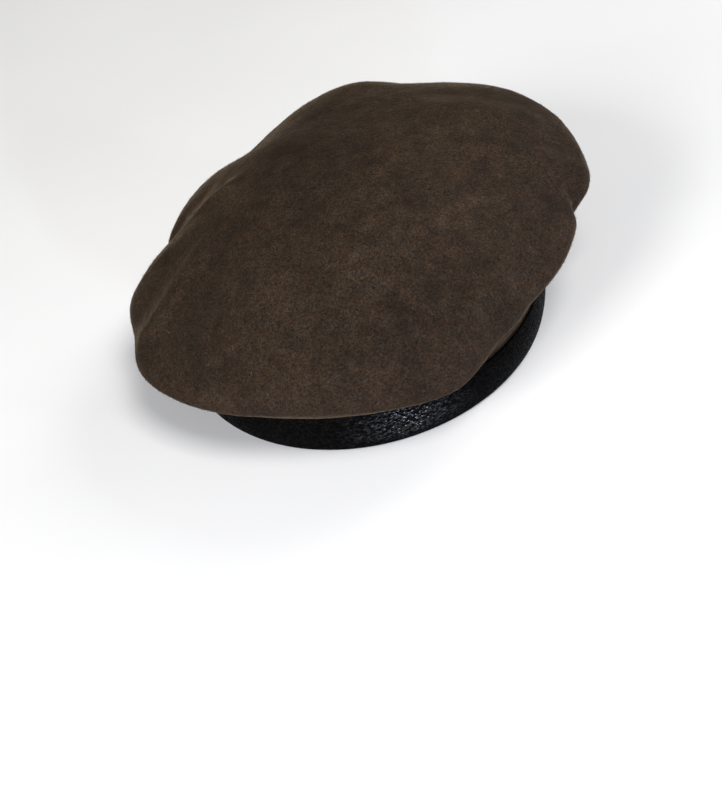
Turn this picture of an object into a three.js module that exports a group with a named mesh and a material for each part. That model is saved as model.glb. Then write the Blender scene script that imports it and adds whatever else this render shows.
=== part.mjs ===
// A military beret of brown wool felt, bound at the rim with a band of black leather.
// Millimetres, +Z up. The forehead side faces -Y, and the felt is pulled towards +X and the back.
// The beret stands on the flat foot of its band. Angles are in degrees around the band's centre,
// counted from +X towards +Y.

import * as THREE from 'three';

// The head band, measured on the outside of the leather at its foot. Its wall swells outwards by
// the bulge times the sine of an angle, which grows from 0 at the foot to BAND_BULGE_TURN at the
// top. The top leans over by BAND_LEAN towards +X and +Y
const BAND_HALF_WIDTH = 96;
const BAND_HALF_DEPTH = 100;
const BAND_HEIGHT = 21;
const BAND_BULGE = 1.8;
const BAND_BULGE_TURN = 170;
const BAND_LEAN = 1;
const BAND_EDGE_ROUND = 0.9;

// Thicknesses, and the play between felt and leather
const LEATHER = 1;
const FELT = 2.2;
const PLAY = 0.3;

// The crown: its highest point, and the dome around it, which is higher on one side
const APEX = { x: 2, y: 4, height: 98 };
const DOME = { radius: 55, height: 88, lift: 6, liftAngle: 45 };

// The felt leaves the band straight up for this far before it rolls outwards
const FELT_RISE = 1.5;

// Radius of the crown laid flat, from its middle to the rolled rim
const FLAT_RADIUS = 130;

// How finely the surfaces are divided
const ANGLE_STEPS = 90;
const CROWN_REACHES = [
  0.12, 0.24, 0.35, 0.44, 0.52, 0.6, 0.68, 0.76, 0.84, 0.91, 0.98, 1.06, 1.15, 1.25, 1.38, 1.52, 1.67,
];
const BAND_LEVELS = [0.07, 0.36, 0.68, 1];

// Sections through the crown, [radius, height] of three points on each:
// crest: where the top turns down, rim: the widest roll, tuck: the underside beside the band
const sections = [
  { angle: 0, crest: [104, 68], rim: [121, 49], tuck: [110, 34] },
  { angle: 5, crest: [108, 71], rim: [128, 51], tuck: [112, 36] },
  { angle: 12, crest: [110, 75], rim: [131, 55], tuck: [113, 38] },
  { angle: 25, crest: [112, 80], rim: [133, 62], tuck: [116, 41] },
  { angle: 38, crest: [109, 84], rim: [129, 67], tuck: [115, 45] },
  { angle: 52, crest: [102, 84], rim: [124, 67], tuck: [112, 46] },
  { angle: 66, crest: [98, 84], rim: [118, 65], tuck: [109, 46] },
  { angle: 80, crest: [98, 86], rim: [116, 65], tuck: [107, 44] },
  { angle: 95, crest: [97, 81], rim: [114, 61], tuck: [105, 42] },
  { angle: 110, crest: [92, 74], rim: [110, 56], tuck: [103, 39] },
  { angle: 125, crest: [90, 66], rim: [108, 50], tuck: [102, 35] },
  { angle: 140, crest: [95, 64.3], rim: [110.5, 46.5], tuck: [103, 32] },
  { angle: 155, crest: [96, 58.3], rim: [108.5, 41.5], tuck: [104, 29] },
  { angle: 168, crest: [95, 52.5], rim: [106.5, 37], tuck: [104, 27] },
  { angle: 180, crest: [106, 53], rim: [118, 36], tuck: [108, 26] },
  { angle: 192, crest: [104, 50], rim: [118, 33], tuck: [108, 25] },
  { angle: 205, crest: [106, 48], rim: [122, 32], tuck: [109, 25] },
  { angle: 220, crest: [105, 48], rim: [119, 32], tuck: [107, 25] },
  { angle: 235, crest: [101, 50], rim: [114, 33], tuck: [105, 25] },
  { angle: 250, crest: [98, 52], rim: [109, 34], tuck: [103, 25] },
  { angle: 265, crest: [97, 54], rim: [108, 33.5], tuck: [103, 25] },
  { angle: 280, crest: [97, 55], rim: [110.5, 31.5], tuck: [104, 25] },
  { angle: 295, crest: [99, 57], rim: [112.5, 31], tuck: [104, 25] },
  { angle: 310, crest: [100, 60], rim: [107, 38], tuck: [100.5, 28] },
  { angle: 318, crest: [98.5, 60.5], rim: [108, 41], tuck: [100.5, 30] },
  { angle: 325, crest: [97, 61], rim: [108, 43], tuck: [100, 31] },
  { angle: 340, crest: [98, 63], rim: [114, 46], tuck: [105, 33] },
];

// Folds and dents, drawn on the crown as it would lie flat.
// from, to: [angle, reach], where reach is 0 at the middle and 1 at the rim; bow: how far the line
// bends to its left; width: half-width; height: of the fold, below zero for a dent;
// roll: how far one flank rises and the other sinks
const folds = [
  { name: 'back left ridge', from: [172, 0.76], to: [158, 0.32], bow: -1, width: 5, height: 2.8, roll: -1.6 },
  { name: 'left ridge', from: [200, 0.86], to: [191, 0.36], bow: -4, width: 5, height: 2.6, roll: 1.8 },
  { name: 'left notch', from: [164, 1], to: [151, 0.46], bow: 3, width: 7, height: -2.4, roll: 0 },
  { name: 'back right ridge', from: [45, 0.42], to: [20, 0.74], bow: -5, width: 9, height: 1.6, roll: -1.1 },
  { name: 'right ridge', from: [8, 0.4], to: [6, 0.98], bow: -5, width: 7, height: 2.4, roll: 1.5 },
  { name: 'right valley', from: [13, 0.46], to: [11, 0.9], bow: -2, width: 6, height: -1.5, roll: 0 },
  { name: 'right notch', from: [357, 1.25], to: [358, 0.92], bow: 0, width: 6, height: -4, roll: 0 },
  { name: 'right crease', from: [357, 0.94], to: [5, 0.78], bow: 0, width: 4, height: -1.2, roll: 0 },
  { name: 'side ridge', from: [300, 0.68], to: [328, 0.7], bow: 5, width: 8, height: 1, roll: -0.8 },
  { name: 'side groove', from: [304, 0.84], to: [331, 0.86], bow: 4, width: 8, height: -1, roll: 0 },
  { name: 'front ridge', from: [248, 0.78], to: [276, 0.74], bow: 2, width: 8, height: 2, roll: 0 },
  { name: 'front rib', from: [279, 0.52], to: [277, 0.7], bow: 0, width: 8, height: 0.9, roll: 0 },
  { name: 'crown pucker', from: [272, 0.36], to: [286, 0.42], bow: 0, width: 12, height: 1.2, roll: 0 },
];

// A fold fades in and out over this share of its length, and runs a little past both its ends
const FOLD_FADE = 0.3;
const FOLD_OVERRUN = 0.1;
const FOLD_FLANK_SPREAD = 3;
const FOLD_FLANK_GAIN = 0.9;

// Index of the rim among a section's points: apex, dome, crest, rim, tuck, seam
const RIM_POINT = 3;
const SECTION_SPANS = 5;

// Step of the finite differences that give the crown's normal
const NORMAL_STEP = { angle: 0.5, reach: 0.005 };

const radians = THREE.MathUtils.degToRad;

function wrapAngle(angle) {
  return ((angle % 360) + 360) % 360;
}

function smooth(share) {
  const t = THREE.MathUtils.clamp(share, 0, 1);
  return t * t * (3 - 2 * t);
}

// Values between the rows of the sections table, running smoothly all the way round
function betweenRows(angle, read) {
  const count = sections.length;
  const turned = wrapAngle(angle);
  let index = count - 1;
  while (sections[index].angle > turned) {
    index -= 1;
  }
  const row = (step) => sections[(index + step + count) % count];
  const rowAngle = (step) => row(step).angle + 360 * Math.floor((index + step) / count);
  const [a0, a1, a2, a3] = [-1, 0, 1, 2].map(rowAngle);
  const [p0, p1, p2, p3] = [-1, 0, 1, 2].map((step) => read(row(step)));
  const t = (turned - a1) / (a2 - a1);
  const slope1 = ((p2 - p0) / (a2 - a0)) * (a2 - a1);
  const slope2 = ((p3 - p1) / (a3 - a1)) * (a2 - a1);
  const t2 = t * t;
  const t3 = t2 * t;
  return (
    (2 * t3 - 3 * t2 + 1) * p1 + (t3 - 2 * t2 + t) * slope1 + (3 * t2 - 2 * t3) * p2 + (t3 - t2) * slope2
  );
}

// A point of the band's wall: inset goes in from the outer face, level is 0 at the foot and 1 at the top
function bandPoint(angle, inset, level) {
  const cos = Math.cos(radians(angle));
  const sin = Math.sin(radians(angle));
  const foot = 1 / Math.hypot(cos / BAND_HALF_WIDTH, sin / BAND_HALF_DEPTH);
  const bulge = BAND_BULGE * Math.sin(radians(BAND_BULGE_TURN * Math.min(level, 1)));
  const radius = foot + bulge - inset;
  const lean = BAND_LEAN * level;
  return new THREE.Vector3(radius * cos + lean, radius * sin + lean, BAND_HEIGHT * level);
}

// The felt's outer face lies inside the outer leather
const FELT_INSET = LEATHER + PLAY;
const SEAM_LEVEL = 1 + FELT_RISE / BAND_HEIGHT;

function domeHeight(angle) {
  return DOME.height + DOME.lift * Math.cos(radians(angle - DOME.liftAngle));
}

// The section of the crown at one angle: a smooth curve in radius (x) and height (y)
function sectionCurve(angle) {
  const point = (name) => {
    const radius = betweenRows(angle, (row) => row[name][0]);
    const height = betweenRows(angle, (row) => row[name][1]);
    return new THREE.Vector3(radius, height, 0);
  };
  const seam = bandPoint(angle, FELT_INSET, SEAM_LEVEL);
  const acrossApex = new THREE.Vector3(-DOME.radius, domeHeight(angle + 180), 0);
  const apex = new THREE.Vector3(0, APEX.height, 0);
  const dome = new THREE.Vector3(DOME.radius, domeHeight(angle), 0);
  const seamPoint = new THREE.Vector3(Math.hypot(seam.x, seam.y), seam.z, 0);
  return new THREE.CatmullRomCurve3([
    acrossApex, apex, dome, point('crest'), point('rim'), point('tuck'), seamPoint,
  ]);
}

// The crown without its folds: the middle of the dome is moved over the head's highest point
function smoothCrownPoint(angle, reach) {
  const curve = sectionCurve(angle);
  const share = (1 + Math.min(reach * RIM_POINT, SECTION_SPANS)) / (SECTION_SPANS + 1);
  const { x: radius, y: height } = curve.getPoint(share);
  const crestRadius = betweenRows(angle, (row) => row.crest[0]);
  const shift = smooth(1 - radius / crestRadius);
  return new THREE.Vector3(
    radius * Math.cos(radians(angle)) + APEX.x * shift,
    radius * Math.sin(radians(angle)) + APEX.y * shift,
    height,
  );
}

function crownNormal(angle, reach) {
  const low = Math.max(reach - NORMAL_STEP.reach, NORMAL_STEP.reach);
  const high = low + 2 * NORMAL_STEP.reach;
  const outwards = smoothCrownPoint(angle, high).sub(smoothCrownPoint(angle, low));
  const around = smoothCrownPoint(angle + NORMAL_STEP.angle, low + NORMAL_STEP.reach)
    .sub(smoothCrownPoint(angle - NORMAL_STEP.angle, low + NORMAL_STEP.reach));
  return outwards.cross(around).normalize();
}

function flatPoint(angle, reach) {
  const radius = reach * FLAT_RADIUS;
  return new THREE.Vector2(radius * Math.cos(radians(angle)), radius * Math.sin(radians(angle)));
}

// How far one fold lifts the felt at a place on the flat crown
function foldLift(fold, place) {
  const start = flatPoint(...fold.from);
  const line = flatPoint(...fold.to).sub(start);
  const length = line.length();
  const along = line.clone().divideScalar(length);
  const offset = place.clone().sub(start);
  const share = offset.dot(along) / length;
  const bow = fold.bow * 4 * share * (1 - share);
  const side = (along.x * offset.y - along.y * offset.x - bow) / fold.width;
  const ends = smooth(Math.min(share + FOLD_OVERRUN, 1 + FOLD_OVERRUN - share) / FOLD_FADE);
  const ridge = fold.height * Math.exp(-side * side);
  const flanks = fold.roll * FOLD_FLANK_GAIN * side * Math.exp((-side * side) / FOLD_FLANK_SPREAD);
  return ends * (ridge + flanks);
}

// Both faces of the felt: depth is 0 outside and FELT inside
function crownPoint(angle, reach, depth) {
  const place = flatPoint(angle, reach);
  const lift = folds.reduce((sum, fold) => sum + foldLift(fold, place), 0);
  const point = smoothCrownPoint(angle, reach);
  return point.addScaledVector(crownNormal(angle, reach), lift - depth);
}

// A closed body from rings of points: each ring is joined to the next, and a pole closes an end
function ringBody(rings, poles) {
  const positions = [];
  const indices = [];
  rings.flat().forEach((point) => positions.push(point.x, point.y, point.z));
  const steps = ANGLE_STEPS;
  const spans = poles ? rings.length - 1 : rings.length;
  for (let ring = 0; ring < spans; ring += 1) {
    const next = (ring + 1) % rings.length;
    for (let step = 0; step < steps; step += 1) {
      const right = (step + 1) % steps;
      const [a, b] = [ring * steps + step, ring * steps + right];
      const [c, d] = [next * steps + step, next * steps + right];
      indices.push(a, c, d, a, d, b);
    }
  }
  if (poles) {
    const [first, last] = poles;
    const firstPole = positions.length / 3;
    positions.push(first.x, first.y, first.z, last.x, last.y, last.z);
    const lastRing = (rings.length - 1) * steps;
    for (let step = 0; step < steps; step += 1) {
      const right = (step + 1) % steps;
      indices.push(firstPole, step, right);
      indices.push(firstPole + 1, lastRing + right, lastRing + step);
    }
  }
  const geometry = new THREE.BufferGeometry();
  geometry.setAttribute('position', new THREE.Float32BufferAttribute(positions, 3));
  geometry.setIndex(indices);
  geometry.computeVertexNormals();
  return geometry;
}

function ringOf(pointAt) {
  return Array.from({ length: ANGLE_STEPS }, (_, step) => pointAt((360 * step) / ANGLE_STEPS));
}

// The felt: down over the rim on the outside, down inside the leather, and back up on the inside
function crownGeometry() {
  const footLevel = (LEATHER + PLAY) / BAND_HEIGHT;
  const hiddenLevels = [...BAND_LEVELS.slice(1).reverse(), footLevel];
  const freeRings = (depth) => CROWN_REACHES.map((reach) => ringOf((angle) => crownPoint(angle, reach, depth)));
  const hiddenRings = (depth) => hiddenLevels.map(
    (level) => ringOf((angle) => bandPoint(angle, FELT_INSET + depth, level)),
  );
  const outer = [...freeRings(0), ...hiddenRings(0)];
  const inner = [...freeRings(FELT), ...hiddenRings(FELT)].reverse();
  return ringBody([...outer, ...inner], [crownPoint(0, 0, 0), crownPoint(0, 0, FELT)]);
}

// The leather: one strip folded up both sides of the felt's edge, with a flat foot
function bandGeometry() {
  const innerFace = 2 * LEATHER + 2 * PLAY + FELT;
  const innerHidden = innerFace - LEATHER;
  const floorLevel = LEATHER / BAND_HEIGHT;
  const face = (inset, levels) => levels.map((level) => ringOf((angle) => bandPoint(angle, inset, level)));
  const up = BAND_LEVELS;
  const down = [...BAND_LEVELS].reverse();
  const hiddenDown = [...down.slice(0, -1), floorLevel];
  const hiddenUp = [floorLevel, ...up.slice(1)];
  const rings = [
    ...face(BAND_EDGE_ROUND, [0]),
    ...face(0, up),
    ...face(LEATHER, hiddenDown),
    ...face(innerHidden, hiddenUp),
    ...face(innerFace, down),
    ...face(innerFace - BAND_EDGE_ROUND, [0]),
  ];
  return ringBody(rings.reverse(), null);
}

function feltMaterial() {
  return new THREE.MeshStandardMaterial({ name: 'felt', color: 0x3a3028, roughness: 0.96, metalness: 0 });
}

function leatherMaterial() {
  return new THREE.MeshStandardMaterial({ name: 'leather', color: 0x141415, roughness: 0.38, metalness: 0 });
}

function namedMesh(name, geometry, material) {
  const mesh = new THREE.Mesh(geometry, material);
  mesh.name = name;
  return mesh;
}

// The origin is moved to the middle of the beret's box, on the surface that it rests on
function centreOnFoot(group) {
  const box = new THREE.Box3().setFromObject(group);
  const centre = box.getCenter(new THREE.Vector3());
  group.position.set(-centre.x, -centre.y, -box.min.z);
}

const group = new THREE.Group();
group.add(namedMesh('crown', crownGeometry(), feltMaterial()));
group.add(namedMesh('band', bandGeometry(), leatherMaterial()));
centreOnFoot(group);

export default group;
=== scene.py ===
import math

import bpy
import numpy as np
from mathutils import Matrix, Vector, noise


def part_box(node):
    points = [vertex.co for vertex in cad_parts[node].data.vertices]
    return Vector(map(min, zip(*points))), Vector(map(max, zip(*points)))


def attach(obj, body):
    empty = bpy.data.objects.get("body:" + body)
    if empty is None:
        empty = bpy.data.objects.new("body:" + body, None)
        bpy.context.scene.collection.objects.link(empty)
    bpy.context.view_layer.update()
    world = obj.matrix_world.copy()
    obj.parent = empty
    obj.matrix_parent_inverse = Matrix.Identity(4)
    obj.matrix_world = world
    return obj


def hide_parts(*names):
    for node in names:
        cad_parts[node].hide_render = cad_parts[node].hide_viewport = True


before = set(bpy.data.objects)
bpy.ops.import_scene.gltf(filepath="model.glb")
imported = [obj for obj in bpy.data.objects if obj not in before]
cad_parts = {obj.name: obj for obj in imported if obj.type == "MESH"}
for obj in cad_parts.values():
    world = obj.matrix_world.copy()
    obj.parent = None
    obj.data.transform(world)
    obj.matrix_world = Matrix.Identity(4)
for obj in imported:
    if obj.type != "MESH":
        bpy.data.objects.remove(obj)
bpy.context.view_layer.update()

MM = 0.001

# The head band, measured on the outside of the leather at its foot
BAND_HALF_WIDTH = 96.0
BAND_HALF_DEPTH = 100.0
BAND_HEIGHT = 21.0
BAND_BULGE = 1.8
BAND_BULGE_TURN = 170.0
BAND_LEAN = 1.0
BAND_LEVELS = (0.07, 0.36, 0.68, 1.0)
BAND_CAD_STEPS = 90

# Thicknesses, the play between felt and leather, and how far in the felt and the leather's inner face lie
LEATHER = 1.0
FELT = 2.2
PLAY = 0.3
FELT_INSET = LEATHER + PLAY
INNER_FACE = 2 * LEATHER + 2 * PLAY + FELT

# The levels of the felt's rows inside the band, from the top down
HIDDEN_FELT_LEVELS = (1.0, 0.68, 0.36, (LEATHER + PLAY) / BAND_HEIGHT)

# The crown: its highest point, and the dome around it, which is higher on one side
APEX_X = 2.0
APEX_Y = 4.0
APEX_HEIGHT = 98.0
DOME_RADIUS = 55.0
DOME_HEIGHT = 88.0
DOME_LIFT = 6.0
DOME_LIFT_ANGLE = 45.0
FELT_RISE = 1.5
FLAT_RADIUS = 130.0
SEAM_REACH = 1.67

# Sections through the crown: the angle, then [radius, height] of the crest, of the rim, and of the
# tuck beside the band
SECTIONS = np.array([
    (0, 104, 68, 121, 49, 110, 34),
    (5, 108, 71, 128, 51, 112, 36),
    (12, 110, 75, 131, 55, 113, 38),
    (25, 112, 80, 133, 62, 116, 41),
    (38, 109, 84, 129, 67, 115, 45),
    (52, 102, 84, 124, 67, 112, 46),
    (66, 98, 84, 118, 65, 109, 46),
    (80, 98, 86, 116, 65, 107, 44),
    (95, 97, 81, 114, 61, 105, 42),
    (110, 92, 74, 110, 56, 103, 39),
    (125, 90, 66, 108, 50, 102, 35),
    (140, 95, 64.3, 110.5, 46.5, 103, 32),
    (155, 96, 58.3, 108.5, 41.5, 104, 29),
    (168, 95, 52.5, 106.5, 37, 104, 27),
    (180, 106, 53, 118, 36, 108, 26),
    (192, 104, 50, 118, 33, 108, 25),
    (205, 106, 48, 122, 32, 109, 25),
    (220, 105, 48, 119, 32, 107, 25),
    (235, 101, 50, 114, 33, 105, 25),
    (250, 98, 52, 109, 34, 103, 25),
    (265, 97, 54, 108, 33.5, 103, 25),
    (280, 97, 55, 110.5, 31.5, 104, 25),
    (295, 99, 57, 112.5, 31, 104, 25),
    (310, 100, 60, 107, 38, 100.5, 28),
    (318, 98.5, 60.5, 108, 41, 100.5, 30),
    (325, 97, 61, 108, 43, 100, 31),
    (340, 98, 63, 114, 46, 105, 33),
], dtype=float)

# Counted from the apex: which point of a section is the rim, at reach 1, and which one is the last
RIM_POINT = 3
LAST_POINT = 5

# Folds and dents, drawn on the crown as it would lie flat: start and end are (angle, reach)
FOLDS = (
    dict(name="back left ridge", start=(172, 0.76), end=(158, 0.32), bow=-1, width=5, height=2.8, roll=-1.6),
    dict(name="left ridge", start=(200, 0.86), end=(191, 0.36), bow=-4, width=5, height=2.6, roll=1.8),
    dict(name="left notch", start=(164, 1), end=(151, 0.46), bow=3, width=7, height=-2.4, roll=0),
    dict(name="back right ridge", start=(45, 0.42), end=(20, 0.74), bow=-5, width=9, height=1.6, roll=-1.1),
    dict(name="right ridge", start=(8, 0.4), end=(6, 0.98), bow=-5, width=7, height=2.4, roll=1.5),
    dict(name="right valley", start=(13, 0.46), end=(11, 0.9), bow=-2, width=6, height=-1.5, roll=0),
    dict(name="right notch", start=(357, 1.25), end=(358, 0.92), bow=0, width=6, height=-4, roll=0),
    dict(name="right crease", start=(357, 0.94), end=(5, 0.78), bow=0, width=4, height=-1.2, roll=0),
    dict(name="side ridge", start=(300, 0.68), end=(328, 0.7), bow=5, width=8, height=1, roll=-0.8),
    dict(name="side groove", start=(304, 0.84), end=(331, 0.86), bow=4, width=8, height=-1, roll=0),
    dict(name="front ridge", start=(248, 0.78), end=(276, 0.74), bow=2, width=8, height=2, roll=0),
    dict(name="front rib", start=(279, 0.52), end=(277, 0.7), bow=0, width=8, height=0.9, roll=0),
    dict(name="crown pucker", start=(272, 0.36), end=(286, 0.42), bow=0, width=12, height=1.2, roll=0),
)
FOLD_FADE = 0.3
FOLD_OVERRUN = 0.1
FOLD_FLANK_SPREAD = 3.0
FOLD_FLANK_GAIN = 0.9

# How finely the felt is divided
FELT_STEPS = 380
FELT_OUTER_ROWS = 165
FELT_INNER_ROWS = 60
FIRST_REACH = 0.012

# The soft lumps in the felt's face, as (length, height), and the reach over which they fade at the band
LUMPS = ((14.0, 0.26), (5.5, 0.1))
LUMP_FADE = 0.1

# The small steps of angle and reach over which the felt's slopes are measured
NORMAL_ANGLE_STEP = 0.5
NORMAL_REACH_STEP = 0.005

# How finely the leather is divided
LEATHER_STEPS = 1040
LEATHER_OUTER_ROWS = 58
LEATHER_INNER_ROWS = 10

# The leather's rounded foot and lips, in degrees of turn, and the share of grain on them
FOOT_ROUND = 1.4
FOOT_TURNS = (25, 50, 75)
FOOT_GRAIN = 0.5
LIP_STEP = 30
LIP_GRAIN = 0.4

# The leather's pebbled grain, its waviness, and the seam at its back
PEBBLE_LENGTH = 2.0
PEBBLE_RISE = 0.9
PEBBLE_HEIGHT = 0.15
PEBBLE_EDGE = 0.4
PEBBLE_DOME = 0.9
PEBBLE_SPOT = (0.08, 0.92)
WAVE_LENGTH = 22.0
WAVE_HEIGHT = 0.22
WAVE_SHIFT = 3.0
SEAM_ANGLE = 90.0
SEAM_WIDTH = 0.7
SEAM_DEPTH = 0.4

# One plain row of stitches inside the band. Each is a bowed rod, with rings of [place along it from its
# middle, thickness], both as shares. It stands proud at its middle by a share of its radius, and dips
# towards its ends with the square of that place
STITCH_PITCH = 3.6
STITCH_LENGTH = 2.7
STITCH_RADIUS = 0.28
STITCH_LEVEL = 0.86
STITCH_SIDES = 6
STITCH_SHAPE = ((-0.5, 0.35), (-0.34, 0.85), (0.0, 1.0), (0.34, 0.85), (0.5, 0.35))
STITCH_PROUD = 0.5
STITCH_DIP = 4.0

# The nap: short fibres lying over the felt, and a few longer pale ones
NAP_PIECES = 3
NAP = dict(count=19500, length=(1.2, 2.6), radius=0.035, rise=(4.0, 34.0))
LINT = dict(count=110, length=(1.5, 4.5), radius=0.045, rise=(0.0, 14.0))
SEED = 7

# Each fibre: how deep it is rooted, the reach of the felt that has any, how it bends and curls, and how
# thin it gets by its middle
FIBRE_ROOT_DEPTH = 0.12
FIBRE_REACH = (0.0, 1.6)
FIBRE_BEND = (-0.9, 0.5)
FIBRE_CURL = (-40.0, 40.0)
FIBRE_TAPER = 0.8

# A fibre's faces: corners 0 to 2 are at its root, 3 to 5 at its middle, and 6 is its tip
FIBRE_CORNERS = 7
FIBRE_FACES = ((0, 1, 4, 3), (1, 2, 5, 4), (2, 0, 3, 5), (3, 4, 6), (4, 5, 6), (5, 3, 6), (2, 1, 0))

# Where the size of the felt's patches is measured, so that the fibres are spread evenly over it
PROBE_ANGLE_STEP = 5.0
PROBE_REACHES = 10
PROBE_MARGIN = 1.1

# The camera, from the band's middle: degrees, then millimetres, then what it clips, in metres
CAMERA_TURN = 8.0
CAMERA_RISE = 41.487
CAMERA_ROLL = -15.193
CAMERA_RANGE = 750.0
CAMERA_ASIDE = -1.465
CAMERA_BELOW = -44.76
CAMERA_LIFT = 1.0
CAMERA_LENS = 62.84
CAMERA_SENSOR = 36.0
CAMERA_CLIP = 0.01

# Soft square lamps, in metres and watts, all turned towards the beret, and the sky around them
LAMP_AIM = (0.0, 0.0, 0.04)
LAMPS = (
    dict(name="overhead", place=(0.66, -0.66, 1.8), size=0.9, power=22.0, colour=(1.0, 0.99, 0.97)),
    dict(name="front_left", place=(-1.22, -1.22, 1.04), size=0.8, power=25.0, colour=(1.0, 0.99, 0.97)),
    dict(name="back_right", place=(1.22, 1.22, 1.04), size=0.8, power=14.0, colour=(1.0, 0.99, 0.97)),
    dict(name="low_front", place=(0.37, -1.13, 0.2), size=0.07, power=7.5, colour=(0.72, 0.79, 1.0)),
    dict(name="low_right", place=(1.13, -0.65, 0.24), size=0.08, power=2.5, colour=(0.78, 0.85, 1.0)),
)
SKY_COLOUR = (0.97, 0.98, 1.0)
SKY_STRENGTH = 0.12

# The floor, in metres
FLOOR_HALF = 4.0
FLOOR_COLOURS = ((0.88, 0.88, 0.88), (0.92, 0.92, 0.92))

# The felt's greyer and warmer flecks, its pits, and its sheen
FELT_GREY = (0.0262, 0.0189, 0.0129)
FELT_WARM = (0.0305, 0.0173, 0.0098)
FELT_PIT = (0.01, 0.0075, 0.0055)
SHEEN_WEIGHT = 0.6
SHEEN_ROUGHNESS = 0.24
SHEEN_TINT = (0.475, 0.345, 0.228)

# The darkest and the palest of the nap, of the lint and of the thread
NAP_COLOURS = ((0.0124, 0.0088, 0.0058), (0.0555, 0.0385, 0.0284))
LINT_COLOURS = ((0.09, 0.08, 0.07), (0.34, 0.32, 0.29))
THREAD_COLOURS = ((0.006, 0.006, 0.007), (0.02, 0.02, 0.022))

# Shades in the felt: spots this many millimetres across, their detail, and their contrast
FELT_MOTTLE = ((22.0, 2.0, 0.22), (8.0, 2.0, 0.2), (3.2, 2.0, 0.1), (1.6, 1.0, 0.12), (0.85, 1.0, 0.55))
FELT_CLUMP_SIZE = 3.4
FELT_CLUMP_CONTRAST = 0.12

# Painted light and shade on the felt and its nap, lighter and darker spots that stand in for how light
# falls: the spot's middle as (angle, reach), its radius and the change
PAINTED_LIGHT_SPOTS = (
    dict(name="back left shade", place=(112, 0.3), radius=36, change=-0.42),
    dict(name="back left shade inwards", place=(130, 0.14), radius=30, change=-0.16),
    dict(name="back left rim light", place=(96, 0.44), radius=14, change=0.3),
    dict(name="back shade", place=(67, 0.23), radius=20, change=-0.2),
    dict(name="back rim shade", place=(44, 0.54), radius=12, change=-0.14),
    dict(name="back rim light", place=(76, 0.48), radius=15, change=0.46),
    dict(name="back light", place=(13, 0.37), radius=30, change=0.34),
    dict(name="back light onwards", place=(31, 0.32), radius=24, change=0.28),
    dict(name="back edge light", place=(18, 0.6), radius=14, change=0.14),
    dict(name="left light", place=(175, 0.3), radius=22, change=0.24),
    dict(name="left shade", place=(183, 0.15), radius=18, change=-0.18),
    dict(name="left fold light", place=(196, 0.42), radius=16, change=0.16),
    dict(name="left front light", place=(220, 0.6), radius=13, change=0.14),
    dict(name="left front shade", place=(231, 0.73), radius=14, change=-0.18),
    dict(name="left rim light", place=(236, 0.93), radius=13, change=0.5),
    dict(name="left rim light onwards", place=(226, 0.88), radius=9, change=0.35),
    dict(name="crown light", place=(337, 0.18), radius=25, change=0.3),
    dict(name="crown right light", place=(3, 0.27), radius=32, change=0.14),
    dict(name="pucker light", place=(278, 0.41), radius=13, change=0.56),
    dict(name="middle light", place=(303, 0.3), radius=18, change=0.4),
    dict(name="middle light onwards", place=(298, 0.46), radius=14, change=0.22),
    dict(name="right light", place=(326, 0.45), radius=28, change=0.48),
    dict(name="right light onwards", place=(346, 0.44), radius=20, change=0.16),
    dict(name="right front light", place=(317, 0.68), radius=14, change=0.16),
    dict(name="right rim light", place=(336, 0.79), radius=20, change=0.22),
    dict(name="right edge light", place=(348, 0.8), radius=14, change=0.22),
    dict(name="right back light", place=(3, 0.7), radius=18, change=0.16),
    dict(name="front light", place=(245, 0.42), radius=19, change=0.26),
    dict(name="front edge light", place=(265, 0.79), radius=13, change=0.18),
    dict(name="front left shade", place=(267, 0.57), radius=17, change=-0.12),
    dict(name="front shade", place=(287, 0.82), radius=19, change=-0.32),
    dict(name="front shade inwards", place=(288, 0.56), radius=17, change=-0.34),
    dict(name="right front shade", place=(302, 0.66), radius=17, change=-0.34),
    dict(name="right front edge shade", place=(314, 0.81), radius=16, change=-0.3),
)

# How far the edges of those spots of painted light and shade wander, and over what length
PAINTED_LIGHT_WANDER = 9.0
PAINTED_LIGHT_WANDER_SIZE = 12.0

# The leather's colours, its roughness, and how strongly it reflects, from its dullest to its shiniest
LEATHER_COLOURS = ((0.0009, 0.0009, 0.0011), (0.0017, 0.0017, 0.002))
# The colour painted into the creases between the pebbles, as painted shade
CREASE_PAINTED_SHADE = (0.0005, 0.0005, 0.0006)
CREASE_WIDTH = 0.16
LEATHER_ROUGHNESS = (0.28, 0.4)
LEATHER_SHINE = (0.016, 0.52)

# Where a pebble's top ends, as shares of the cell's size, and the shine left beside it
PEBBLE_TOP = (0.3, 0.55)
PEBBLE_SIDE_SHINE = 0.05

# The leather's small facets: their size in millimetres, how far they tilt along x, y and z, and their lift
FACET_SIZE = 0.5
FACET_TILT = (1.0, 1.0, 1.9)
FACET_LIFT = 0.34

# The stretch of the band that hands have polished: the angle of its middle, its radius, the two heights
# between which it sets in over the foot, its roughness, and the share of shine that the rest keeps
POLISHED_ANGLE = 281.0
POLISHED_RADIUS = 40.0
POLISHED_HEIGHTS = (2.0, 8.0)
POLISHED_ROUGHNESS = 0.13
UNPOLISHED_SHINE = 0.06

# The Mix node's sockets for colours, which bear the same names as its sockets for numbers
MIX_FIRST = 6
MIX_SECOND = 7
MIX_RESULT = 2


def smooth(share):
    """A soft step: 0 up to 0, 1 from 1 on, and smooth between them."""
    t = np.clip(share, 0.0, 1.0)
    return t * t * (3.0 - 2.0 * t)


def cosine(angle):
    return np.cos(np.radians(angle))


def sine(angle):
    return np.sin(np.radians(angle))


def hermite(start, end, slope_start, slope_end, t):
    """The cubic from start to end with these slopes, at shares t of the way."""
    t2 = t * t
    t3 = t2 * t
    ends = (2 * t3 - 3 * t2 + 1) * start + (3 * t2 - 2 * t3) * end
    slopes = (t3 - 2 * t2 + t) * slope_start + (t3 - t2) * slope_end
    return ends + slopes


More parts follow.
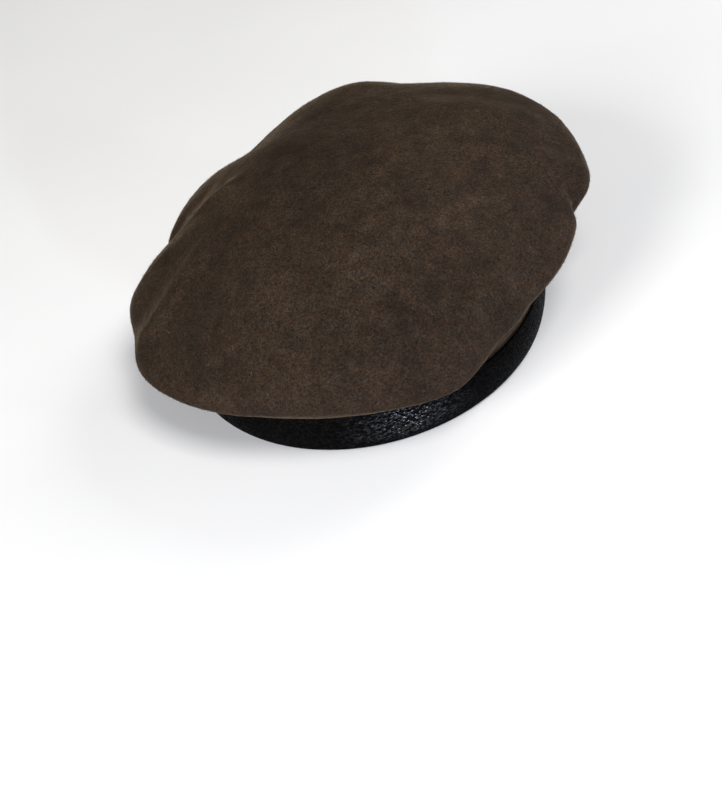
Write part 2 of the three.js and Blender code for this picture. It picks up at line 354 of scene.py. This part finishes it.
def section_values(angle):
    """The columns of the sections table at each angle, running smoothly all the way round."""
    angles = SECTIONS[:, 0]
    count = len(angles)
    turned = np.mod(angle, 360.0)
    index = np.searchsorted(angles, turned, side="right") - 1

    def row_angle(step):
        return angles[(index + step) % count] + 360.0 * ((index + step) // count)

    def row(step):
        return SECTIONS[(index + step) % count, 1:]

    a0, a1, a2, a3 = (row_angle(step) for step in (-1, 0, 1, 2))
    p0, p1, p2, p3 = (row(step) for step in (-1, 0, 1, 2))
    span = a2 - a1
    slope1 = (p2 - p0) * (span / (a2 - a0))[..., None]
    slope2 = (p3 - p1) * (span / (a3 - a1))[..., None]
    return hermite(p1, p2, slope1, slope2, ((turned - a1) / span)[..., None])


def band_point(angle, inset, level):
    """A point of the band's wall.

    inset goes in from the outer face, and level is 0 at the foot and 1 at the top.
    """
    foot = 1.0 / np.hypot(cosine(angle) / BAND_HALF_WIDTH, sine(angle) / BAND_HALF_DEPTH)
    bulge = BAND_BULGE * sine(BAND_BULGE_TURN * np.minimum(level, 1.0))
    radius = foot + bulge - inset
    lean = BAND_LEAN * level
    x = radius * cosine(angle) + lean
    y = radius * sine(angle) + lean
    return np.stack(np.broadcast_arrays(x, y, BAND_HEIGHT * level), axis=-1)


def dome_height(angle):
    """The dome's height at its radius, a little more on one side."""
    return DOME_HEIGHT + DOME_LIFT * cosine(angle - DOME_LIFT_ANGLE)


def section_points(angle):
    """The section's points at each angle, [radius, height], from across the apex down to the band."""
    values = section_values(angle)
    seam = band_point(angle, FELT_INSET, 1.0 + FELT_RISE / BAND_HEIGHT)
    level = np.zeros_like(angle)
    points = [
        (level - DOME_RADIUS, dome_height(angle + 180.0)),
        (level, level + APEX_HEIGHT),
        (level + DOME_RADIUS, dome_height(angle)),
        (values[..., 0], values[..., 1]),
        (values[..., 2], values[..., 3]),
        (values[..., 4], values[..., 5]),
        (np.hypot(seam[..., 0], seam[..., 1]), seam[..., 2]),
    ]
    return np.stack([np.stack(point, axis=-1) for point in points], axis=-2)


def curve_point(points, place):
    """A point of the smooth curve through a section's points. place counts the points from the first."""
    last = 2.0 * points[..., -1:, :] - points[..., -2:-1, :]
    first = 2.0 * points[..., :1, :] - points[..., 1:2, :]
    full = np.concatenate([first, points, last], axis=-2)
    index = np.clip(np.floor(place).astype(int), 0, points.shape[-2] - 2)
    t = (place - index)[..., None]

    def pick(step):
        chosen = (index + step)[..., None, None]
        return np.take_along_axis(full, np.broadcast_to(chosen, index.shape + (1, 2)), axis=-2)[..., 0, :]

    def spacing(a, b):
        return np.sqrt(np.linalg.norm(a - b, axis=-1, keepdims=True))

    p0, p1, p2, p3 = (pick(step) for step in (0, 1, 2, 3))
    d0, d1, d2 = spacing(p0, p1), spacing(p1, p2), spacing(p2, p3)
    slope1 = ((p1 - p0) / d0 - (p2 - p0) / (d0 + d1) + (p2 - p1) / d1) * d1
    slope2 = ((p2 - p1) / d1 - (p3 - p1) / (d1 + d2) + (p3 - p2) / d2) * d1
    return hermite(p1, p2, slope1, slope2, t)


def smooth_crown_point(angle, reach):
    """The crown without its folds: the middle of the dome is moved over the head's highest point."""
    place = 1.0 + np.minimum(reach * RIM_POINT, LAST_POINT)
    profile = curve_point(section_points(angle), place)
    radius = profile[..., 0]
    shift = smooth(1.0 - radius / section_values(angle)[..., 0])
    x = radius * cosine(angle) + APEX_X * shift
    y = radius * sine(angle) + APEX_Y * shift
    return np.stack([x, y, profile[..., 1]], axis=-1)


def crown_slopes(angle, reach):
    """Which way the smooth crown runs outwards and around, per unit of reach and per degree."""
    low = np.maximum(reach - NORMAL_REACH_STEP, NORMAL_REACH_STEP)
    middle = low + NORMAL_REACH_STEP
    high = middle + NORMAL_REACH_STEP
    outwards = smooth_crown_point(angle, high) - smooth_crown_point(angle, low)
    before = smooth_crown_point(angle - NORMAL_ANGLE_STEP, middle)
    after = smooth_crown_point(angle + NORMAL_ANGLE_STEP, middle)
    return outwards / (2 * NORMAL_REACH_STEP), (after - before) / (2 * NORMAL_ANGLE_STEP)


def unit(vectors):
    """The vectors at length 1."""
    return vectors / np.linalg.norm(vectors, axis=-1, keepdims=True)


def crown_normal(angle, reach):
    """The way straight out of the smooth crown."""
    outwards, around = crown_slopes(angle, reach)
    return unit(np.cross(outwards, around))


def flat_point(angle, reach):
    """The place on the crown as it would lie flat, [x, y]."""
    return np.stack([reach * FLAT_RADIUS * cosine(angle), reach * FLAT_RADIUS * sine(angle)], axis=-1)


def fold_lift(fold, place):
    """How far one fold lifts the felt at places on the flat crown."""
    start = flat_point(*fold["start"])
    line = flat_point(*fold["end"]) - start
    length = np.linalg.norm(line)
    along = line / length
    offset = place - start
    share = offset @ along / length
    bow = fold["bow"] * 4.0 * share * (1.0 - share)
    side = (along[0] * offset[..., 1] - along[1] * offset[..., 0] - bow) / fold["width"]
    ends = smooth(np.minimum(share + FOLD_OVERRUN, 1.0 + FOLD_OVERRUN - share) / FOLD_FADE)
    ridge = fold["height"] * np.exp(-side * side)
    flanks = fold["roll"] * FOLD_FLANK_GAIN * side * np.exp(-side * side / FOLD_FLANK_SPREAD)
    return ends * (ridge + flanks)


def noise_at(points, wavelength, shift):
    """Smooth noise, about -1 to 1, at each point."""
    flat = points.reshape(-1, 3) / wavelength + shift
    values = [noise.noise(Vector(place)) for place in flat]
    return np.array(values).reshape(points.shape[:-1])


def crown_point(angle, reach, depth):
    """The felt with its folds and soft lumps: depth is 0 outside and FELT inside."""
    place = flat_point(angle, reach)
    lift = sum(fold_lift(fold, place) for fold in FOLDS)
    point = smooth_crown_point(angle, reach)
    fade = smooth((SEAM_REACH - reach) / LUMP_FADE)
    for wavelength, height in LUMPS:
        lift = lift + fade * height * noise_at(point, wavelength, wavelength)
    return point + crown_normal(angle, reach) * (lift - depth)[..., None]


def new_object(name, points, faces, material):
    """A smooth mesh object from points in millimetres around the band's middle."""
    mesh = bpy.data.meshes.new(name)
    placed = np.asarray(points).reshape(-1, 3) * MM + FOOT_PLACE
    mesh.from_pydata(placed.tolist(), [], faces)
    mesh.polygons.foreach_set("use_smooth", [True] * len(mesh.polygons))
    mesh.materials.append(material)
    mesh.update()
    made = bpy.data.objects.new(name, mesh)
    bpy.context.scene.collection.objects.link(made)
    return made


def foot_place():
    """Where the band's middle stands in the frame, from the corner of the CAD band's box."""
    angle = np.arange(BAND_CAD_STEPS) * 360.0 / BAND_CAD_STEPS
    own = band_point(angle[:, None], 0.0, np.array(BAND_LEVELS)[None, :])
    corner = own.reshape(-1, 3).min(axis=0) * MM
    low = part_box("band")[0]
    return np.array([low[0] - corner[0], low[1] - corner[1], low[2]])


def ring_faces(rings, steps, is_loop):
    """Four-sided faces between each ring and the next."""
    faces = []
    spans = rings if is_loop else rings - 1
    for ring in range(spans):
        start = ring * steps
        following = ((ring + 1) % rings) * steps
        for step in range(steps):
            right = (step + 1) % steps
            faces.append((start + step, following + step, following + right, start + right))
    return faces


def pole_faces(pole, ring_start, steps, is_top):
    """A fan of faces from a pole to its ring."""
    faces = []
    for step in range(steps):
        left = ring_start + step
        right = ring_start + (step + 1) % steps
        faces.append((pole, left, right) if is_top else (pole, right, left))
    return faces


def felt_crown(material):
    """The felt: down over the rim on the outside, down inside the leather, and back up on the inside."""
    angle = np.arange(FELT_STEPS)[None, :] * 360.0 / FELT_STEPS
    outer_reach = np.linspace(FIRST_REACH, SEAM_REACH, FELT_OUTER_ROWS)[:, None]
    inner_reach = np.linspace(SEAM_REACH, FIRST_REACH, FELT_INNER_ROWS)[:, None]
    levels = np.array(HIDDEN_FELT_LEVELS)[:, None]
    outer = crown_point(*np.broadcast_arrays(angle, outer_reach), 0.0)
    outer_hidden = band_point(angle, FELT_INSET, levels)
    inner_hidden = band_point(angle, FELT_INSET + FELT, levels[::-1])
    inner = crown_point(*np.broadcast_arrays(angle, inner_reach), FELT)
    rings = np.concatenate([outer, outer_hidden, inner_hidden, inner])
    centre = np.zeros(1)
    poles = np.stack([crown_point(centre, centre, 0.0), crown_point(centre, centre, FELT)])
    points = np.concatenate([rings.reshape(-1, 3), poles.reshape(-1, 3)])
    faces = ring_faces(len(rings), FELT_STEPS, False)
    pole = len(rings) * FELT_STEPS
    faces += pole_faces(pole, 0, FELT_STEPS, True)
    faces += pole_faces(pole + 1, (len(rings) - 1) * FELT_STEPS, FELT_STEPS, False)
    made = new_object("felt_crown", points, faces, material)
    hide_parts("crown")
    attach(made, "root")


def pebbles(around, height):
    """The grain's height from 0 in the creases to 1 on a pebble. around and height are in pebbles."""
    generator = np.random.default_rng(SEED)
    columns = int(round(around.max()))
    rows = int(height.max()) + 3
    spots = generator.uniform(*PEBBLE_SPOT, (columns, rows, 2))
    column = np.floor(around).astype(int)
    row = np.floor(height).astype(int)
    nearest = np.full(around.shape, np.inf)
    second = np.full(around.shape, np.inf)
    for side in (-1, 0, 1):
        for rise in (-1, 0, 1):
            spot = spots[(column + side) % columns, np.clip(row + rise, 0, rows - 1)]
            gap_around = column + side + spot[..., 0] - around
            gap_height = row + rise + spot[..., 1] - height
            gap = np.hypot(gap_around, gap_height)
            second = np.minimum(second, np.maximum(nearest, gap))
            nearest = np.minimum(nearest, gap)
    return smooth((second - nearest) / PEBBLE_EDGE) * (1.0 - PEBBLE_DOME * nearest * nearest)


def band_profile():
    """The leather's outline from the outer foot up, down inside, up again and back to the inner foot.

    Each row is [inset, height, share of grain].
    """
    half = LEATHER / 2
    top = BAND_HEIGHT - half
    rows = [(FOOT_ROUND, 0.0, 0.0)]
    for turn in FOOT_TURNS:
        rows.append((FOOT_ROUND * (1 - sine(turn)), FOOT_ROUND * (1 - cosine(turn)), FOOT_GRAIN))
    for height in np.linspace(FOOT_ROUND, top, LEATHER_OUTER_ROWS):
        rows.append((0.0, height, 1.0))
    for turn in range(LIP_STEP, 180 + LIP_STEP, LIP_STEP):
        rows.append((half - half * cosine(turn), top + half * sine(turn), LIP_GRAIN))
    rows.append((LEATHER, LEATHER, 0.0))
    rows.append((INNER_FACE - LEATHER, LEATHER, 0.0))
    for turn in range(0, 180, LIP_STEP):
        rows.append((INNER_FACE - half - half * cosine(turn), top + half * sine(turn), LIP_GRAIN))
    for height in np.linspace(top, FOOT_ROUND, LEATHER_INNER_ROWS):
        rows.append((INNER_FACE, height, 1.0))
    for turn in reversed(FOOT_TURNS):
        inset = INNER_FACE - FOOT_ROUND * (1 - sine(turn))
        rows.append((inset, FOOT_ROUND * (1 - cosine(turn)), FOOT_GRAIN))
    rows.append((INNER_FACE - FOOT_ROUND, 0.0, 0.0))
    return np.array(rows)


def leather_band(material):
    """The leather: one strip folded up both sides of the felt's edge, with a flat foot."""
    profile = band_profile()
    angle = np.arange(LEATHER_STEPS)[None, :] * 360.0 / LEATHER_STEPS
    inset = profile[:, 0][:, None]
    height = profile[:, 1][:, None]
    grain = profile[:, 2][:, None]
    girth = math.pi * (BAND_HALF_WIDTH + BAND_HALF_DEPTH)
    columns = round(girth / PEBBLE_LENGTH)
    steps = np.diff(profile[:, :2], axis=0, prepend=profile[:1, :2])
    outline = np.cumsum(np.hypot(steps[:, 0], steps[:, 1]))
    around, along = np.broadcast_arrays(angle / 360.0 * columns, (outline / PEBBLE_RISE)[:, None])
    pebble = pebbles(around, along) - 0.5
    plain = band_point(angle, inset, height / BAND_HEIGHT)
    wave = WAVE_HEIGHT * noise_at(plain, WAVE_LENGTH, WAVE_SHIFT)
    from_seam = (np.mod(angle - SEAM_ANGLE + 180.0, 360.0) - 180.0) / 360.0 * girth
    seam = SEAM_DEPTH * np.exp(-((from_seam / SEAM_WIDTH) ** 2))
    outwards = np.where(inset < INNER_FACE / 2, 1.0, -1.0)
    proud = grain * (PEBBLE_HEIGHT * pebble + wave - seam)
    points = band_point(angle, inset - outwards * proud, height / BAND_HEIGHT)
    faces = ring_faces(len(profile), LEATHER_STEPS, True)
    faces = [face[::-1] for face in faces]
    made = new_object("leather_band", points, faces, material)
    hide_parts("band")
    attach(made, "root")


def stitch_row(material):
    """Plain thread stitches along the inside of the band, each one a small bowed rod."""
    girth = math.pi * (BAND_HALF_WIDTH + BAND_HALF_DEPTH - 2 * INNER_FACE)
    count = round(girth / STITCH_PITCH)
    rings = len(STITCH_SHAPE)
    points = []
    faces = []
    for stitch in range(count):
        middle = 360.0 * stitch / count
        for share, width in STITCH_SHAPE:
            angle = np.array(middle + share * STITCH_LENGTH / girth * 360.0)
            proud = STITCH_RADIUS * (STITCH_PROUD - STITCH_DIP * share * share)
            for side in range(STITCH_SIDES):
                turn = 360.0 * side / STITCH_SIDES
                inwards = proud + width * STITCH_RADIUS * cosine(turn)
                rise = width * STITCH_RADIUS * sine(turn)
                points.append(band_point(angle, INNER_FACE + inwards, STITCH_LEVEL + rise / BAND_HEIGHT))
        start = stitch * rings * STITCH_SIDES
        for face in ring_faces(rings, STITCH_SIDES, False):
            faces.append(tuple(start + corner for corner in face))
        faces.append(tuple(start + side for side in range(STITCH_SIDES)))
        end = start + (rings - 1) * STITCH_SIDES
        faces.append(tuple(end + side for side in reversed(range(STITCH_SIDES))))
    made = new_object("stitch_row", np.array(points), faces, material)
    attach(made, "root")


def fibre_places(generator, count):
    """Places for the fibres, [angle, reach], spread evenly over the outer felt."""
    low, high = FIBRE_REACH
    kept_angle = np.zeros(0)
    kept_reach = np.zeros(0)
    sizes = []
    probes = np.arange(0.0, 360.0, PROBE_ANGLE_STEP)
    for share in np.linspace(1.0 / PROBE_REACHES, 1.0, PROBE_REACHES):
        outwards, around = crown_slopes(probes, np.full(len(probes), low + share * (high - low)))
        sizes.append(np.linalg.norm(np.cross(outwards, around), axis=-1).max())
    largest = max(sizes) * PROBE_MARGIN
    while len(kept_angle) < count:
        angle = generator.uniform(0.0, 360.0, count)
        reach = generator.uniform(low, high, count)
        outwards, around = crown_slopes(angle, reach)
        size = np.linalg.norm(np.cross(outwards, around), axis=-1)
        keep = generator.uniform(0.0, largest, count) < size
        kept_angle = np.append(kept_angle, angle[keep])
        kept_reach = np.append(kept_reach, reach[keep])
    return kept_angle[:count], kept_reach[:count]


def fibres(name, seed, material, count, length, radius, rise):
    """Tapered fibres that lie over the felt, each one a closed three-sided sliver."""
    generator = np.random.default_rng(seed)
    angle, reach = fibre_places(generator, count)
    normal = crown_normal(angle, reach)
    root = crown_point(angle, reach, FIBRE_ROOT_DEPTH)
    way = generator.normal(size=(count, 3))
    way = unit(way - normal * np.sum(way * normal, axis=-1, keepdims=True))
    aside = np.cross(normal, way)
    half = generator.uniform(*length, count)[:, None] / 2
    climb = generator.uniform(*rise, count)[:, None]
    bend = generator.uniform(*FIBRE_BEND, count)[:, None] * climb
    curl = generator.uniform(*FIBRE_CURL, count)[:, None]
    first = way * cosine(climb) + normal * sine(climb)
    swung = way * cosine(curl) + aside * sine(curl)
    second = swung * cosine(bend) + normal * sine(bend)
    middle = root + first * half
    tip = middle + second * half
    points = np.empty((count, FIBRE_CORNERS, 3))
    for corner in range(3):
        turn = 120.0 * corner
        off = aside * cosine(turn) + np.cross(first, aside) * sine(turn)
        points[:, corner] = root + off * radius
        points[:, 3 + corner] = middle + off * radius * FIBRE_TAPER
    points[:, 6] = tip
    faces = []
    for strand in range(count):
        start = FIBRE_CORNERS * strand
        for face in FIBRE_FACES:
            faces.append(tuple(start + corner for corner in face))
    made = new_object(name, points, faces, material)
    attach(made, "root")


def material_tree(name):
    """A new material, its node tree and its main shader."""
    material = bpy.data.materials.new(name)
    material.use_nodes = True
    tree = material.node_tree
    return material, tree, tree.nodes["Principled BSDF"]


def object_place(tree):
    """The place on the piece, in metres in the frame."""
    return tree.nodes.new("ShaderNodeTexCoord").outputs["Object"]


def noise_node(tree, place, size, detail=2.0, roughness=0.5, distortion=0.0):
    """Noise with spots about size millimetres across."""
    node = tree.nodes.new("ShaderNodeTexNoise")
    node.inputs["Scale"].default_value = 1.0 / (size * MM)
    node.inputs["Detail"].default_value = detail
    node.inputs["Roughness"].default_value = roughness
    node.inputs["Distortion"].default_value = distortion
    tree.links.new(place, node.inputs["Vector"])
    return node.outputs["Fac"]


def cells_node(tree, place, size, feature):
    """Cells about size millimetres across."""
    node = tree.nodes.new("ShaderNodeTexVoronoi")
    node.feature = feature
    node.inputs["Scale"].default_value = 1.0 / (size * MM)
    tree.links.new(place, node.inputs["Vector"])
    return node.outputs["Distance"]


def spread(tree, value, low, high, low_to=0.0, high_to=1.0):
    """Spreads the values between low and high over a new range."""
    node = tree.nodes.new("ShaderNodeMapRange")
    node.inputs["From Min"].default_value = low
    node.inputs["From Max"].default_value = high
    node.inputs["To Min"].default_value = low_to
    node.inputs["To Max"].default_value = high_to
    tree.links.new(value, node.inputs["Value"])
    return node.outputs["Result"]


def faded(tree, share, start, end):
    """The start socket's value, running to the number end as share goes from 0 to 1."""
    node = tree.nodes.new("ShaderNodeMapRange")
    node.inputs["To Max"].default_value = end
    tree.links.new(share, node.inputs["Value"])
    tree.links.new(start, node.inputs["To Min"])
    return node.outputs["Result"]


def mix_colours(tree, share, first, second, blend="MIX"):
    """Blends two colours. Each is a socket or an RGB triple, and share is a socket or a number."""
    node = tree.nodes.new("ShaderNodeMix")
    node.data_type = "RGBA"
    node.blend_type = blend
    for key, value in (("Factor", share), (MIX_FIRST, first), (MIX_SECOND, second)):
        socket = node.inputs[key]
        if isinstance(value, bpy.types.NodeSocket):
            tree.links.new(value, socket)
        elif isinstance(value, tuple):
            socket.default_value = (*value, 1.0)
        else:
            socket.default_value = value
    return node.outputs[MIX_RESULT]


def stretched(tree, place, stretch):
    """The place with each of its axes multiplied by its own factor."""
    node = tree.nodes.new("ShaderNodeMapping")
    node.inputs["Scale"].default_value = stretch
    tree.links.new(place, node.inputs["Vector"])
    return node.outputs["Vector"]


def times(tree, first, second):
    """The product of two sockets."""
    node = tree.nodes.new("ShaderNodeMath")
    node.operation = "MULTIPLY"
    tree.links.new(first, node.inputs[0])
    tree.links.new(second, node.inputs[1])
    return node.outputs["Value"]


def bump_node(tree, height, depth, strength, under=None, turned_in=False):
    """Bump of that depth in millimetres, over another bump if one is given."""
    node = tree.nodes.new("ShaderNodeBump")
    node.invert = turned_in
    node.inputs["Distance"].default_value = depth * MM
    node.inputs["Strength"].default_value = strength
    tree.links.new(height, node.inputs["Height"])
    if under is not None:
        tree.links.new(under, node.inputs["Normal"])
    return node.outputs["Normal"]


def tint_by(tree, colour, noise_value, contrast):
    """The colour made darker and lighter by up to this contrast, as the noise runs."""
    low, high = 1.0 - contrast, 1.0 + contrast
    gain = mix_colours(tree, noise_value, (low, low, low), (high, high, high))
    return mix_colours(tree, 1.0, colour, gain, "MULTIPLY")


def vector_node(tree, operation, first, second=None):
    """One step of vector arithmetic. The second value is a socket or a triple."""
    node = tree.nodes.new("ShaderNodeVectorMath")
    node.operation = operation
    tree.links.new(first, node.inputs[0])
    if isinstance(second, tuple):
        node.inputs[1].default_value = second
    elif second is not None:
        tree.links.new(second, node.inputs[1])
    return node.outputs["Value" if operation == "DISTANCE" else "Vector"]


def noise_vector(tree, place, size):
    """Three noises in one vector, each about -0.5 to 0.5, with spots about size millimetres across."""
    node = tree.nodes.new("ShaderNodeTexNoise")
    node.inputs["Scale"].default_value = 1.0 / (size * MM)
    node.inputs["Detail"].default_value = 1.0
    tree.links.new(place, node.inputs["Vector"])
    return vector_node(tree, "SUBTRACT", node.outputs["Color"], (0.5, 0.5, 0.5))


def near(tree, place, point, radius):
    """1 at a point, fading smoothly to 0 at the radius. Both are in millimetres from the band's middle."""
    centre = tuple(np.asarray(point).reshape(3) * MM + FOOT_PLACE)
    distance = vector_node(tree, "DISTANCE", place, centre)
    node = tree.nodes.new("ShaderNodeMapRange")
    node.interpolation_type = "SMOOTHSTEP"
    node.inputs["From Max"].default_value = radius * MM
    node.inputs["To Min"].default_value = 1.0
    node.inputs["To Max"].default_value = 0.0
    tree.links.new(distance, node.inputs["Value"])
    return node.outputs["Result"]


def above(tree, place, low, high):
    """0 up to one height and 1 from another, both in millimetres over the floor."""
    node = tree.nodes.new("ShaderNodeSeparateXYZ")
    tree.links.new(place, node.inputs["Vector"])
    return spread(tree, node.outputs["Z"], low * MM, high * MM)


def with_painted_light(tree, place, colour):
    """The colour with broad spots of painted light and shade, whose edges wander."""
    noises = noise_vector(tree, place, PAINTED_LIGHT_WANDER_SIZE)
    wander = vector_node(tree, "MULTIPLY", noises, (PAINTED_LIGHT_WANDER * 2 * MM,) * 3)
    moved = vector_node(tree, "ADD", place, wander)
    # Each spot lightens or darkens the colour as painted light or painted shade
    for spot in PAINTED_LIGHT_SPOTS:
        angle, reach = (np.array([float(value)]) for value in spot["place"])
        share = near(tree, moved, crown_point(angle, reach, 0.0), spot["radius"])
        gain = mix_colours(tree, share, (1.0, 1.0, 1.0), (1.0 + spot["change"],) * 3)
        colour = mix_colours(tree, 1.0, colour, gain, "MULTIPLY")
    return colour


def felt_colour(tree, place):
    """Dark brown wool: faint warm and grey flecks, broad spots of painted light and shade, and a fibre
    mottle from broad to fine.
    """
    fleck = spread(tree, noise_node(tree, place, 2.6, 2.0, 0.6), 0.32, 0.68)
    colour = mix_colours(tree, fleck, FELT_GREY, FELT_WARM)
    # Painted light and shade: broad lighter and darker spots where light falls
    colour = with_painted_light(tree, place, colour)
    for size, detail, contrast in FELT_MOTTLE:
        share = spread(tree, noise_node(tree, place, size, detail, 0.6, 0.4), 0.3, 0.7)
        colour = tint_by(tree, colour, share, contrast)
    wisps = spread(tree, noise_node(tree, place, FELT_CLUMP_SIZE, 3.0, 0.6, 2.5), 0.3, 0.7)
    colour = tint_by(tree, colour, wisps, FELT_CLUMP_CONTRAST)
    pits = spread(tree, noise_node(tree, place, 2.0, 1.0, 0.6), 0.64, 0.78)
    return mix_colours(tree, pits, colour, FELT_PIT)


def felt_material():
    """Matte wool with a brown sheen and a fine fibrous relief."""
    material, tree, shader = material_tree("wool_felt")
    place = object_place(tree)
    tree.links.new(felt_colour(tree, place), shader.inputs["Base Color"])
    shader.inputs["Roughness"].default_value = 0.95
    shader.inputs["Specular IOR Level"].default_value = 0.1
    shader.inputs["Sheen Weight"].default_value = SHEEN_WEIGHT
    shader.inputs["Sheen Roughness"].default_value = SHEEN_ROUGHNESS
    shader.inputs["Sheen Tint"].default_value = (*SHEEN_TINT, 1.0)
    soft = bump_node(tree, noise_node(tree, place, 2.4, 3.0, 0.6, 0.6), 0.4, 0.7)
    fine = bump_node(tree, noise_node(tree, place, 0.9, 2.0, 0.7, 1.2), 0.2, 0.8, soft)
    tree.links.new(fine, shader.inputs["Normal"])
    return material


def nap_material():
    """The felt's short fibres, from dark to pale, with the same spots of painted light and shade as the
    felt.
    """
    material, tree, shader = material_tree("wool_nap")
    place = object_place(tree)
    share = spread(tree, noise_node(tree, place, 1.4, 1.0), 0.3, 0.7)
    colour = mix_colours(tree, share, *NAP_COLOURS)
    # Painted light and shade: the same lighter and darker spots as on the felt
    colour = with_painted_light(tree, place, colour)
    tree.links.new(colour, shader.inputs["Base Color"])
    shader.inputs["Roughness"].default_value = 0.9
    shader.inputs["Specular IOR Level"].default_value = 0.15
    return material


def lint_material():
    """Pale stray fibres, some greyer than others."""
    material, tree, shader = material_tree("pale_lint")
    place = object_place(tree)
    share = spread(tree, noise_node(tree, place, 6.0, 1.0), 0.35, 0.65)
    colour = mix_colours(tree, share, *LINT_COLOURS)
    tree.links.new(colour, shader.inputs["Base Color"])
    shader.inputs["Roughness"].default_value = 0.8
    return material


def tilted_facets(tree, place, normal):
    """The grain's small facets: each tilts its own way, mostly up or down, and all are lifted a little."""
    tilt = vector_node(tree, "MULTIPLY", noise_vector(tree, place, FACET_SIZE), FACET_TILT)
    lifted = vector_node(tree, "ADD", tilt, (0.0, 0.0, FACET_LIFT))
    return vector_node(tree, "NORMALIZE", vector_node(tree, "ADD", normal, lifted))


def leather_material():
    """Near-black pebbled leather, with painted shade darkening the creases between the pebbles, and polished
    in one stretch.
    """
    material, tree, shader = material_tree("black_leather")
    place = object_place(tree)
    grain_place = stretched(tree, place, (1.0, 1.0, PEBBLE_LENGTH / PEBBLE_RISE))
    edge = cells_node(tree, grain_place, PEBBLE_LENGTH, "DISTANCE_TO_EDGE")
    creases = spread(tree, edge, 0.0, CREASE_WIDTH)
    dome = cells_node(tree, grain_place, PEBBLE_LENGTH, "F1")
    tone = spread(tree, noise_node(tree, place, 9.0, 3.0, 0.6), 0.3, 0.7)
    # Painted shade: the creases between the pebbles are coloured darker
    colour = mix_colours(tree, creases, CREASE_PAINTED_SHADE, mix_colours(tree, tone, *LEATHER_COLOURS))
    tree.links.new(colour, shader.inputs["Base Color"])
    middle = band_point(np.array([POLISHED_ANGLE]), 0.0, np.array([0.5]))
    stretch = near(tree, place, middle, POLISHED_RADIUS)
    worn = times(tree, stretch, above(tree, place, *POLISHED_HEIGHTS))
    satin = spread(tree, noise_node(tree, place, 2.4, 3.0, 0.6), 0.3, 0.7, *LEATHER_ROUGHNESS)
    tree.links.new(faded(tree, worn, satin, POLISHED_ROUGHNESS), shader.inputs["Roughness"])
    polished = spread(tree, worn, 0.0, 1.0, UNPOLISHED_SHINE, 1.0)
    tops = spread(tree, dome, *PEBBLE_TOP, 1.0, PEBBLE_SIDE_SHINE)
    shine = spread(tree, times(tree, tops, polished), 0.0, 1.0, *LEATHER_SHINE)
    tree.links.new(shine, shader.inputs["Specular IOR Level"])
    puffed = bump_node(tree, times(tree, dome, dome), 0.2, 1.0, turned_in=True)
    split = bump_node(tree, creases, 0.08, 1.0, puffed)
    tree.links.new(tilted_facets(tree, place, split), shader.inputs["Normal"])
    return material


def thread_material():
    """Black twisted thread."""
    material, tree, shader = material_tree("black_thread")
    place = object_place(tree)
    twist = spread(tree, noise_node(tree, place, 0.5, 2.0), 0.3, 0.7)
    colour = mix_colours(tree, twist, *THREAD_COLOURS)
    tree.links.new(colour, shader.inputs["Base Color"])
    shader.inputs["Roughness"].default_value = 0.6
    tree.links.new(bump_node(tree, twist, 0.08, 0.7), shader.inputs["Normal"])
    return material


def floor_material():
    """A matte near-white, faintly uneven."""
    material, tree, shader = material_tree("pale_floor")
    place = object_place(tree)
    tone = spread(tree, noise_node(tree, place, 180.0, 2.0), 0.3, 0.7)
    colour = mix_colours(tree, tone, *FLOOR_COLOURS)
    tree.links.new(colour, shader.inputs["Base Color"])
    shader.inputs["Roughness"].default_value = 0.8
    return material


def pale_floor():
    """The floor that the beret rests on, which isn't part of it."""
    mesh = bpy.data.meshes.new("floor")
    corners = [(x * FLOOR_HALF, y * FLOOR_HALF, 0.0) for x, y in ((-1, -1), (1, -1), (1, 1), (-1, 1))]
    mesh.from_pydata(corners, [], [(0, 1, 2, 3)])
    mesh.materials.append(floor_material())
    made = bpy.data.objects.new("floor", mesh)
    bpy.context.scene.collection.objects.link(made)


def area_light(name, place, size, power, colour):
    """A soft square lamp at place, turned towards the beret."""
    lamp = bpy.data.lights.new(name, "AREA")
    lamp.size = size
    lamp.energy = power
    lamp.color = colour
    made = bpy.data.objects.new(name, lamp)
    made.location = place
    made.rotation_mode = "QUATERNION"
    made.rotation_quaternion = (Vector(LAMP_AIM) - Vector(place)).to_track_quat("-Z", "Y")
    bpy.context.scene.collection.objects.link(made)


def soft_lights():
    """The lamps, a faint even sky, and plain colours in the picture."""
    for lamp in LAMPS:
        area_light(**lamp)
    world = bpy.data.worlds.new("studio")
    world.use_nodes = True
    background = world.node_tree.nodes["Background"]
    background.inputs["Color"].default_value = (*SKY_COLOUR, 1.0)
    background.inputs["Strength"].default_value = SKY_STRENGTH
    bpy.context.scene.world = world
    bpy.context.scene.view_settings.view_transform = "Standard"


def photo_camera():
    """The camera at the photograph's angle, which also has the photograph's tilt."""
    turn, rise, roll = (math.radians(value) for value in (CAMERA_TURN, CAMERA_RISE, CAMERA_ROLL))
    back = Vector((math.sin(turn) * math.cos(rise), -math.cos(turn) * math.cos(rise), math.sin(rise)))
    level = Vector((math.cos(turn), math.sin(turn), 0.0))
    upright = back.cross(level)
    right = level * math.cos(roll) + upright * math.sin(roll)
    up = upright * math.cos(roll) - level * math.sin(roll)
    place = right * CAMERA_ASIDE + up * CAMERA_BELOW + back * CAMERA_RANGE
    camera = bpy.data.cameras.new("camera")
    camera.lens = CAMERA_LENS
    camera.sensor_width = CAMERA_SENSOR
    camera.clip_start = CAMERA_CLIP
    made = bpy.data.objects.new("camera", camera)
    place.z += CAMERA_LIFT
    columns = Matrix((right, up, back)).transposed().to_4x4()
    made.matrix_world = Matrix.Translation(place * MM + Vector(FOOT_PLACE)) @ columns
    bpy.context.scene.collection.objects.link(made)
    bpy.context.scene.camera = made


FOOT_PLACE = foot_place()
photo_camera()
felt_crown(felt_material())
leather_band(leather_material())
stitch_row(thread_material())
wool = nap_material()
for number in range(NAP_PIECES):
    fibres(f"nap_{number + 1}", SEED + number, wool, **NAP)
fibres("lint", SEED + NAP_PIECES, lint_material(), **LINT)
pale_floor()
soft_lights()
